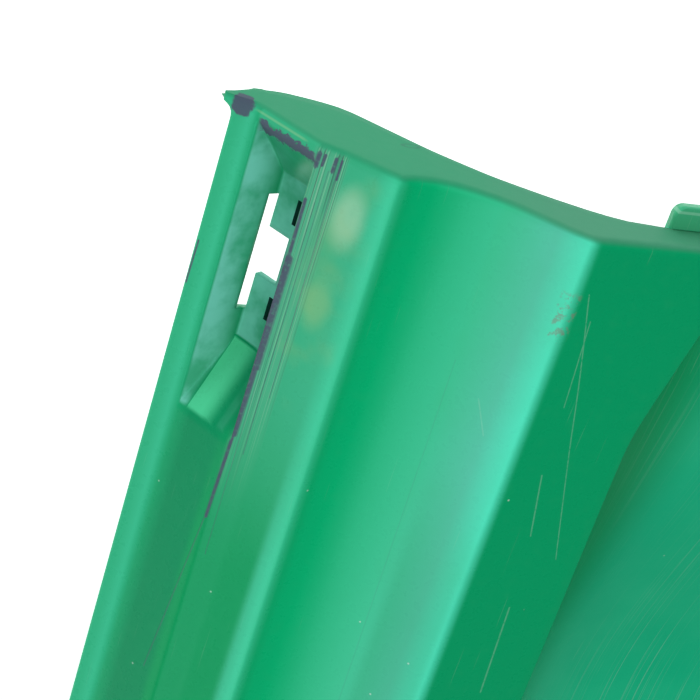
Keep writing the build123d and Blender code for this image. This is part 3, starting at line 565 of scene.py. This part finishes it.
def rail_finish():
    """Scuffed green polyethylene of the rails, with painted light and shade on its facets, laid out on "run":
    across the section, along the slide.
    """
    f = finish()
    t = Tree("rail_moulding_look")
    _, _, line, crease, ridge, shoulder, crown = rail_section()
    co = t.vector(t.attribute("run", "Vector"), (1000, 1000, 1000))
    place_mm = t.vector(t.node("ShaderNodeTexCoord").outputs["Object"], (1000, 1000, 1000))
    part = t.node("ShaderNodeSeparateXYZ", {0: co}).outputs
    u, v = part[0], part[1]
    broad = t.noise(co, 0.012, 4.0, 0.6)
    fine = t.noise(place_mm, 0.22, 4.0, 0.6)
    wide = t.noise(co, 0.045, 3.0, 0.5)
    green = tuple(f.rail_green)
    whole = line[-1]
    # Each stop: distance across, gain of the base green, share of red. The gains and reds paint light and
    # shade: painted highlights on the bevel, ridge, shoulder and crown, and painted shade on the lower flank.
    facet_light_stops = ((0.0, 1.45, 0.020),
             (crease - 6, 1.55, 0.034), (crease - 2, 1.75, 0.044), (crease + 2, 1.12, 0.004),
             (crease + 8, 0.84, 0.0), (ridge - 2, 0.86, 0.0), (ridge + 1, 1.36, 0.046),
             (ridge + 12, 1.40, 0.038), (shoulder - 8, 1.48, 0.042), (shoulder - 2, 1.98, 0.050),
             (shoulder + 4, 1.55, 0.0), (shoulder + 13, 1.58, 0.001), (crown - 30, 1.82, 0.042),
             (crown - 12, 1.86, 0.092), (crown - 1, 2.7, 0.080), (crown + 3, 1.20, 0.0),
             (whole, 1.20, 0.0))
    ramp = t.node("ShaderNodeValToRGB", {"Fac": t.times(u, 1.0 / whole)})
    elements = ramp.color_ramp.elements
    for place_u, _, _ in facet_light_stops[1:-1]:
        elements.new(place_u / whole)
    for stop, (_, gain, red) in zip(elements, facet_light_stops):
        stop.color = (red, green[1] * gain, green[2] * gain * (1.10 + 11.0 * red), 1.0)
    # Painted shade: the flank band and the crown turn a darker green further down the slide, where their
    # painted highlight falls off.
    highlight_fade_green = (0.002, green[1] * 1.05, green[2] * 0.98, 1.0)
    highlight_fade = t.math("MAXIMUM", t.band(u, ridge - 3, shoulder - 9, 4),
                   t.times(t.band(u, crown - 22, crown - 4, 6), 0.35))
    base = t.blend(t.times(highlight_fade, t.step(v, 80, 170)), ramp.outputs[0], highlight_fade_green)
    pale = (0.045, green[1] * 1.45, green[2] * 1.75, 1.0)
    near = t.math("MAXIMUM", t.times(t.band(u, ridge + 2, shoulder - 2, 3), t.step(v, 220, 90)),
                  t.band(u, crown - 30, crown - 1, 4))
    base = t.blend(t.times(t.step(broad, 0.40, 0.75), near, 0.20), base, pale)
    base = t.blend(t.times(t.step(fine, 0.5, 0.75), 0.06), base, pale)
    # Painted highlights: two soft pale patches on the flank near the entry end.
    for du, v0, size, tone in ((16.0, 21.0, 11.5, (0.36, 0.62, 0.40, 1.0)),
                               (14.5, 54.5, 10.0, (0.20, 0.47, 0.20, 1.0))):
        gap = t.node("ShaderNodeVectorMath", {0: t.vector(co, (1.35, 0.75, 0.0)),
                                              1: ((ridge + du) * 1.35, v0 * 0.75, 0.0)}, operation="DISTANCE")
        painted_highlight_patch = t.times(t.step(gap.outputs["Value"], size, size * 0.25), t.step(wide, 0.25, 0.55), 0.62)
        base = t.blend(painted_highlight_patch, base, tone)

    # Painted reflection: yellow patches of a warm reflection on the flank near the entry end.
    flank = t.band(u, ridge + 6, shoulder - 6, 5.0)
    patch = t.times(t.step(wide, 0.50, 0.78), flank, t.step(v, 150, 60), 0.18)
    base = t.blend(patch, base, tuple(f.warm_reflection))

    face = t.attribute("wall_end")
    bare = t.step(face, 0.9, 0.3)
    rub = t.times(t.band(u, ridge - 0.5, ridge + 9.5, 2.0), t.step(v, 150, 60), bare)
    light = t.times(hairlines(t, co, 0.0, 3.1, 0.50, 0.66, 2.1, 0.010), rub, 0.38)
    dark = t.times(hairlines(t, co, 0.0, 9.7, 0.53, 0.64, 1.5, 0.006), rub, 0.75)
    base = t.blend(t.times(rub, 0.22), base, (0.16, 0.42, 0.25, 1.0))
    base = t.blend(light, base, (0.36, 0.60, 0.42, 1.0))
    base = t.blend(dark, base, (0.035, 0.09, 0.07, 1.0))

    loose = 0.0
    for turn, seed in ((0.16, 1.0), (-0.5, 5.0), (1.1, 12.0)):
        loose = t.math("MAXIMUM", loose, hairlines(t, co, turn, seed, 0.735, 0.77))
    base = t.blend(t.times(loose, 0.16), base, (0.30, 0.58, 0.42, 1.0))
    base = t.blend(t.times(specks(t, co, 0.085, 0.045, 0.30), 0.65), base, (0.62, 0.75, 0.66, 1.0))
    base = t.blend(t.times(specks(t, place_mm, 0.060, 0.030, 0.35), 0.7), base, (0.02, 0.07, 0.05, 1.0))

    marks = ((ridge + 0.6, 20, ridge + 0.8, 46, 0.70, 1.0), (ridge + 0.9, 42, ridge + 0.9, 86, 1.75, 1.0),
             (ridge + 0.8, 82, ridge + 0.4, 114, 1.25, 1.0), (ridge + 0.4, 108, ridge - 0.9, 150, 0.75, 1.0),
             (ridge - 0.9, 146, ridge - 8.5, 225, 0.28, 0.5),
             (ridge + 0.8, 3, ridge + 0.6, 8, 1.0, 1.0), (ridge + 2.9, 3, ridge + 2.6, 7, 0.6, 1.0),
             (ridge + 6.6, 3, ridge + 6.4, 8, 0.7, 1.0), (ridge + 8.6, 3, ridge + 8.5, 10, 0.5, 1.0),
             (ridge + 5.2, 8, ridge + 5.6, 120, 0.16, 0.55), (ridge + 8.0, 8, ridge + 8.6, 95, 0.18, 0.5),
             (ridge + 2.6, 60, ridge + 3.0, 165, 0.15, 0.5), (ridge + 3.9, 20, ridge + 4.2, 80, 0.15, 0.5),
             (NIB_U + 1.4, 55, NIB_U + 0.9, 72, 0.45, 1.0), (crown - 30, 60, crown - 27, 330, 0.22, 0.15))
    rough = t.step(t.noise(co, 0.55, 4.0, 0.7), 0.30, 0.52)
    scorch = 0.0
    for u0, v0, u1, v1, w, depth in marks:
        scorch = t.math("MAXIMUM", scorch, t.times(t.stroke(co, (u0, v0), (u1, v1), w), depth))
    scorch = t.times(scorch, t.math("ADD", t.times(rough, 0.35), 0.65), bare)
    ragged = t.math("ADD", v, t.times(t.math("SUBTRACT", t.noise(co, 0.40, 4.0, 0.7), 0.5), 9.0))
    rim = t.times(t.band(ragged, 4.2, 8.2, 0.6), t.band(u, crease + 3, crease + 26, 2.0), bare)
    blob_gap = t.node("ShaderNodeVectorMath", {0: place_mm, 1: (-295.0, -2.4, -28.2)}, operation="DISTANCE")
    uneven = t.times(t.noise(place_mm, 0.35, 3.0), 3.0)
    blob = t.step(t.math("ADD", blob_gap.outputs["Value"], uneven), 5.9, 5.1)
    scorch = t.math("MAXIMUM", t.math("MAXIMUM", scorch, rim), blob)

    pink = t.times(t.band(u, crown - 3.5, crown + 2.0, 1.5), t.band(v, 23, 37, 4.0),
                   t.step(t.noise(co, 0.30, 4.0, 0.7), 0.50, 0.60))
    bright = 0.0
    for u0, v0, u1, v1, w in ((crown + 5, 20, crown + 33, 128, 0.22), (crown + 14, 92, crown + 19, 118, 0.30),
                              (crown + 9, 30, crown + 12, 64, 0.2), (crown + 22, 150, crown + 24, 190, 0.35),
                              (crown - 18, 70, crown - 12, 82, 0.25)):
        bright = t.math("MAXIMUM", bright, t.stroke(co, (u0, v0), (u1, v1), w))

    # The dust attribute carries real dust and also the socket's painted shade and painted light.
    dust = t.attribute("dust")
    bloom = t.times(t.step(face, 0.45, 1.0), t.math("ADD", t.times(fine, 0.13), 0.01))
    clouds = t.step(t.noise(place_mm, 0.050, 4.0, 0.55), 0.34, 0.62)
    settled = t.times(t.step(dust, 0.0, 1.0), t.math("ADD", t.times(clouds, 0.62), 0.25))
    # Painted light: where the dust share is below nought, the socket's lower end wall is painted a brighter
    # green.
    base = t.blend(t.step(dust, 0.0, -1.0), base, (0.070, green[1] * 2.05, green[2] * 3.0, 1.0))
    base = t.blend(t.step(face, 0.3, 1.0), base, (0.010, green[1] * 1.04, green[2] * 1.36, 1.0))
    greyed = t.times(t.step(face, 0.3, 1.0), t.step(u, shoulder, crown), 0.40)
    base = t.blend(greyed, base, (0.080, 0.24, 0.15, 1.0))
    squash = 2.4
    oval = t.node("ShaderNodeVectorMath", {0: t.vector(place_mm, (1.0, 1.0, squash)),
                                           1: (-242.6, 0.0, -5.6 * squash)},
                  operation="DISTANCE").outputs["Value"]
    base = t.blend(t.times(t.band(oval, 2.6, 3.6, 0.5), 0.45), base, (0.020, 0.12, 0.08, 1.0))
    base = t.blend(bloom, base, tuple(f.chalk))
    base = t.blend(settled, base, (0.21, 0.69, 0.57, 1.0))
    # Painted shade: the blind catches are painted near black.
    base = t.blend(t.step(dust, 1.2, 1.9), base, (0.001, 0.014, 0.010, 1.0))
    # Painted highlight: a brighter green strip on the lower flank along the rounded end edge.
    over = t.times(t.step(v, 5.0, 3.2), t.band(u, crease + 2, ridge - 1, 1.5), t.step(face, 0.95, 0.6))
    base = t.blend(t.times(over, 0.70), base, (0.045, green[1] * 1.60, green[2] * 2.5, 1.0))
    # Painted highlight: a thin pale line on the rounded end edge of the lower flank.
    edge = t.times(t.band(v, 1.7, 1.9, 0.5), t.band(u, crease + 2, crease + 20, 4.0), bare)
    base = t.blend(t.times(edge, 0.42), base, (0.28, 0.56, 0.28, 1.0))
    base = t.blend(t.times(bright, t.math("ADD", t.times(rough, 0.20), 0.03)), base, (0.40, 0.66, 0.52, 1.0))
    base = t.blend(t.times(pink, 0.55), base, tuple(f.scuff))
    base = t.blend(t.times(scorch, 0.92), base, tuple(f.scorch))
    t.set("Base Color", base)

    gloss = t.math("ADD", t.times(fine, 0.08), 0.24)
    worn = t.math("MAXIMUM", t.math("MAXIMUM", t.times(rub, 0.12), t.times(face, 0.36)),
                  t.math("MAXIMUM", t.times(settled, 0.35), t.times(scorch, 0.25)))
    t.set("Roughness", t.math("ADD", gloss, worn))
    t.set("Specular IOR Level", 0.30)
    t.set("Specular Tint", GREEN_SHEEN)
    t.set("IOR", 1.5)
    height = t.math("ADD", t.times(t.noise(place_mm, 0.16, 2.0), 0.35),
                    t.times(t.noise(place_mm, 1.1, 2.0), 0.05))
    grooves = t.math("MAXIMUM", scorch, t.math("MAXIMUM", dark, light))
    height = t.math("SUBTRACT", height, t.times(grooves, 0.25))
    bump = t.node("ShaderNodeBump", {"Height": height, "Strength": 0.16, "Distance": 0.001})
    t.set("Normal", bump.outputs[0])
    return t.material


def bed_finish():
    """Worn green polyethylene of the bed: smoother down the middle, with fine scratches along the slide."""
    f = finish()
    t = Tree("bed_moulding_look")
    co = t.vector(t.attribute("run", "Vector"), (1000, 1000, 1000))
    place_mm = t.vector(t.node("ShaderNodeTexCoord").outputs["Object"], (1000, 1000, 1000))
    part = t.node("ShaderNodeSeparateXYZ", {0: co}).outputs
    across, ahead = t.math("ABSOLUTE", part[0]), part[1]
    green = tuple(f.bed_green)
    pale = (green[0] + 0.04, green[1] * 1.25, green[2] * 1.35, 1.0)
    base = t.blend(t.times(t.step(t.noise(co, 0.010, 4.0), 0.35, 0.7), 0.45), green, pale)
    # Painted shadow: the bed turns darker towards both sides, under the rails, past the tongue.
    shaded = t.times(t.step(across, 100, 138), t.step(ahead, 1, 22), 0.85)
    base = t.blend(shaded, base, (0.0, green[1] * 0.54, green[2] * 0.30, 1.0))
    base = t.blend(t.times(t.step(ahead, 1.0, -0.5), 0.65), base, (0.085, 0.42, 0.205, 1.0))
    tip = -sizes()["tongue"]
    # Painted highlight: a pale line just behind the tongue's front edge.
    rim = t.band(ahead, tip + 1.4, tip + 2.0, 0.4)
    base = t.blend(t.times(rim, 0.5), base, (0.30, 0.66, 0.46, 1.0))
    middle = t.step(across, 110, 50)
    lines = hairlines(t, co, 0.0, 2.3, 0.58, 0.70, 1.3, 0.006)
    base = t.blend(t.times(lines, t.math("ADD", t.times(middle, 0.3), 0.12)), base, (0.22, 0.52, 0.36, 1.0))
    loose = t.math("MAXIMUM", hairlines(t, co, 0.12, 7.0, 0.72, 0.76),
                   hairlines(t, co, -0.3, 15.0, 0.74, 0.78))
    base = t.blend(t.times(loose, 0.18), base, (0.32, 0.60, 0.40, 1.0))
    base = t.blend(t.times(specks(t, co, 0.05, 0.035, 0.3), 0.6), base, (0.60, 0.72, 0.62, 1.0))
    t.set("Base Color", base)
    fine = t.noise(place_mm, 0.2, 3.0)
    t.set("Roughness", t.math("ADD", t.times(fine, 0.10), t.math("SUBTRACT", 0.33, t.times(middle, 0.08))))
    t.set("Specular IOR Level", 0.40)
    t.set("Specular Tint", GREEN_SHEEN)
    bump = t.node("ShaderNodeBump", {"Height": t.math("SUBTRACT", t.times(fine, 0.3), t.times(lines, 0.1)),
                                     "Strength": 0.16, "Distance": 0.001})
    t.set("Normal", bump.outputs[0])
    return t.material


def steel_finish(name, tone, roughness, spangle):
    """Zinc-coated steel: crystals of the coating in cells of scale spangle, and white rust in patches."""
    t = Tree(name)
    place_mm = t.vector(t.node("ShaderNodeTexCoord").outputs["Object"], (1000, 1000, 1000))
    zinc = tuple(finish().zinc)
    cells = t.node("ShaderNodeTexVoronoi", {"Vector": place_mm, "Scale": spangle}).outputs["Color"]
    grey = t.node("ShaderNodeSeparateColor", {"Color": cells}).outputs[0]
    rust = t.step(t.noise(place_mm, 0.03, 5.0, 0.65), 0.52, 0.72)
    base = t.blend(grey, tuple(c * tone * 0.82 for c in zinc[:3]) + (1.0,),
                   tuple(c * tone for c in zinc[:3]) + (1.0,))
    t.set("Base Color", t.blend(t.times(rust, 0.5), base, (0.62, 0.62, 0.60, 1.0)))
    t.set("Metallic", t.math("SUBTRACT", 1.0, t.times(rust, 0.5)))
    t.set("Roughness", t.math("ADD", t.math("ADD", t.times(grey, 0.12), roughness), t.times(rust, 0.25)))
    height = t.math("ADD", t.times(grey, 0.2), t.noise(place_mm, 0.5, 3.0))
    bump = t.node("ShaderNodeBump", {"Height": height, "Strength": 0.10, "Distance": 0.001})
    t.set("Normal", bump.outputs[0])
    return t.material


def dull_finish(name, tone, roughness, grain):
    """Dull black rubber or plastic with a fine moulded grain and pale dust in patches."""
    t = Tree(name)
    place_mm = t.vector(t.node("ShaderNodeTexCoord").outputs["Object"], (1000, 1000, 1000))
    dark = tuple(c * tone for c in tuple(finish().rubber)[:3]) + (1.0,)
    dust = t.step(t.noise(place_mm, 0.05, 5.0, 0.65), 0.48, 0.75)
    t.set("Base Color", t.blend(t.times(dust, 0.35), dark, (0.12, 0.12, 0.11, 1.0)))
    t.set("Roughness", t.math("ADD", t.times(dust, 0.15), roughness))
    t.set("Normal", t.node("ShaderNodeBump", {"Height": t.noise(place_mm, grain, 3.0), "Strength": 0.35,
                                              "Distance": 0.0006}).outputs[0])
    return t.material


def dress(piece, material):
    piece.data.materials.clear()
    piece.data.materials.append(material)


def once(name, maker, *args):
    """The material of that name, made the first time it is asked for."""
    return bpy.data.materials.get(name) or maker(*args)


def dress_nodes(slot, material):
    """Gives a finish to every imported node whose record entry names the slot."""
    nodes = [e["node"] for e in frame["record"]["subparts"] if e["material_slot"] == slot]
    if not nodes:
        raise RuntimeError(f"no packed node uses {slot}")
    for name in nodes:
        for held in frame["nodes"][name].material_slots:
            held.material = material


# --- operators -------------------------------------------------------------------------------------------
class SLIDE_OT_stage(bpy.types.Operator):
    """Makes the camera, the pale floor, the soft lights and the sky tone"""
    bl_idname = "slide.stage"
    bl_label = "Stage"

    def execute(self, context):
        camera = bpy.data.objects.new("camera", bpy.data.cameras.new("camera"))
        context.scene.collection.objects.link(camera)
        right, up = Vector((0.90415, 0.27533, 0.32666)), Vector((-0.06283, 0.84201, -0.53580))
        turn = Matrix((right, up, right.cross(up))).transposed()
        corner = Vector((CROWN[0], 0.0, sizes()["rail_top"]))
        eye = (corner + Vector((-339.4, 245.6, 491.4))) * MM
        camera.matrix_world = Matrix.Translation(eye) @ turn.to_4x4()
        camera.data.sensor_width, camera.data.lens = 36.0, 102.86
        camera.data.clip_start, camera.data.clip_end = 0.02, 200.0
        context.scene.camera = camera

        z = CAD_BOX[0].z
        reach = 30.0
        plate = np.array([(-reach, -reach, z), (reach, -reach, z), (reach, reach, z), (-reach, reach, z)])
        floor = add_object("floor", plate, np.array([[0, 1, 2, 3]]), smooth=False)
        t = Tree("floor_look")
        t.set("Base Color", tuple(finish().floor))
        t.set("Roughness", 0.9)
        t.set("Specular IOR Level", 0.1)
        t.set("Emission Color", (1.0, 1.0, 1.0, 1.0))
        t.set("Emission Strength", 0.80)
        dress(floor, t.material)

        self.light(context, "key", (-0.620, -0.450, 0.660), 2.6, 2.0, 27.0)
        self.light(context, "top", (-0.25, 0.75, 1.0), 4.0, 3.6, 96.0)
        self.light(context, "side", (1.0, -0.2, 0.35), 4.0, 2.0, 12.0)
        world = bpy.data.worlds.new("sky")
        world.use_nodes = True
        world.node_tree.nodes["Background"].inputs["Color"].default_value = (0.92, 0.96, 1.0, 1.0)
        world.node_tree.nodes["Background"].inputs["Strength"].default_value = 0.22
        context.scene.world = world
        context.scene.view_settings.view_transform = "Standard"
        return {"FINISHED"}

    @staticmethod
    def light(context, name, toward, distance, size, power):
        """Square soft light facing the rail's entry corner from the direction toward."""
        lamp = bpy.data.lights.new(name, "AREA")
        lamp.shape, lamp.size, lamp.energy = "SQUARE", size, power
        held = bpy.data.objects.new(name, lamp)
        context.scene.collection.objects.link(held)
        way = Vector(toward).normalized()
        held.location = Vector((CROWN[0], 0.0, 0.0)) * MM + way * distance
        held.rotation_euler = way.to_track_quat("Z", "Y").to_euler()


class SLIDE_OT_rails(bpy.types.Operator):
    """Makes both moulded rails, with their sockets, end walls and screw posts"""
    bl_idname = "slide.rails"
    bl_label = "Rails"

    def execute(self, context):
        look = once("rail_moulding_look", rail_finish)
        for side, node in ((-1, "left_rail"), (1, "right_rail")):
            for piece in (build_rail(side), build_posts(side)):
                dress(piece, look)
                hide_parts(node)
        return {"FINISHED"}


class SLIDE_OT_bed(bpy.types.Operator):
    """Makes the moulded bed, with its tongue and run-out end"""
    bl_idname = "slide.bed"
    bl_label = "Bed"

    def execute(self, context):
        piece = build_bed()
        dress(piece, once("bed_moulding_look", bed_finish))
        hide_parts("bed")
        return {"FINISHED"}


class SLIDE_OT_frame(bpy.types.Operator):
    """Finishes the galvanised tubes, the bracket, the anchor plate, the straps and the screws"""
    bl_idname = "slide.frame"
    bl_label = "Steel frame"

    def execute(self, context):
        dress_nodes("galvanised_tube", once("tube_look", steel_finish, "tube_look", 0.95, 0.38, 0.16))
        dress_nodes("zinc_plate", once("plate_look", steel_finish, "plate_look", 1.0, 0.34, 0.10))
        dress_nodes("strap_steel", once("strap_look", steel_finish, "strap_look", 0.9, 0.30, 0.35))
        dress_nodes("fastener_steel", once("screw_look", steel_finish, "screw_look", 1.1, 0.24, 0.8))
        return {"FINISHED"}


class SLIDE_OT_trim(bpy.types.Operator):
    """Finishes the rubber ground shoes, the tube caps and the bed saddles"""
    bl_idname = "slide.trim"
    bl_label = "Rubber and plastic trim"

    def execute(self, context):
        dress_nodes("foot_rubber", once("rubber_look", dull_finish, "rubber_look", 1.0, 0.78, 1.2))
        dress_nodes("plug_plastic", once("plug_look", dull_finish, "plug_look", 1.6, 0.45, 0.8))
        dress_nodes("saddle_plastic", once("saddle_look", dull_finish, "saddle_look", 3.0, 0.50, 0.8))
        return {"FINISHED"}


class SLIDE_PT_panel(bpy.types.Panel):
    """Lists the slide's pieces and its sizes and colours"""
    bl_idname = "SLIDE_PT_panel"
    bl_label = "Straight Slide"
    bl_space_type = "VIEW_3D"
    bl_region_type = "UI"
    bl_category = "Slide"

    def draw(self, context):
        for operator in OPERATORS:
            self.layout.operator(operator.bl_idname)
        for group in (context.scene.slide_sizes, context.scene.slide_finish):
            box = self.layout.box()
            for key in type(group).__annotations__:
                box.prop(group, key)


OPERATORS = (SLIDE_OT_stage, SLIDE_OT_rails, SLIDE_OT_bed, SLIDE_OT_frame, SLIDE_OT_trim)
CLASSES = (SlideSizes, SlideFinish, *OPERATORS, SLIDE_PT_panel)


def register():
    for made in CLASSES:
        bpy.utils.register_class(made)
    bpy.types.Scene.slide_sizes = PointerProperty(type=SlideSizes)
    bpy.types.Scene.slide_finish = PointerProperty(type=SlideFinish)


def unregister():
    del bpy.types.Scene.slide_finish
    del bpy.types.Scene.slide_sizes
    for made in reversed(CLASSES):
        bpy.utils.unregister_class(made)


def main():
    register()
    bpy.ops.slide.stage()
    bpy.ops.slide.rails()
    bpy.ops.slide.bed()
    bpy.ops.slide.frame()
    bpy.ops.slide.trim()


if __name__ == "__main__":
    main()
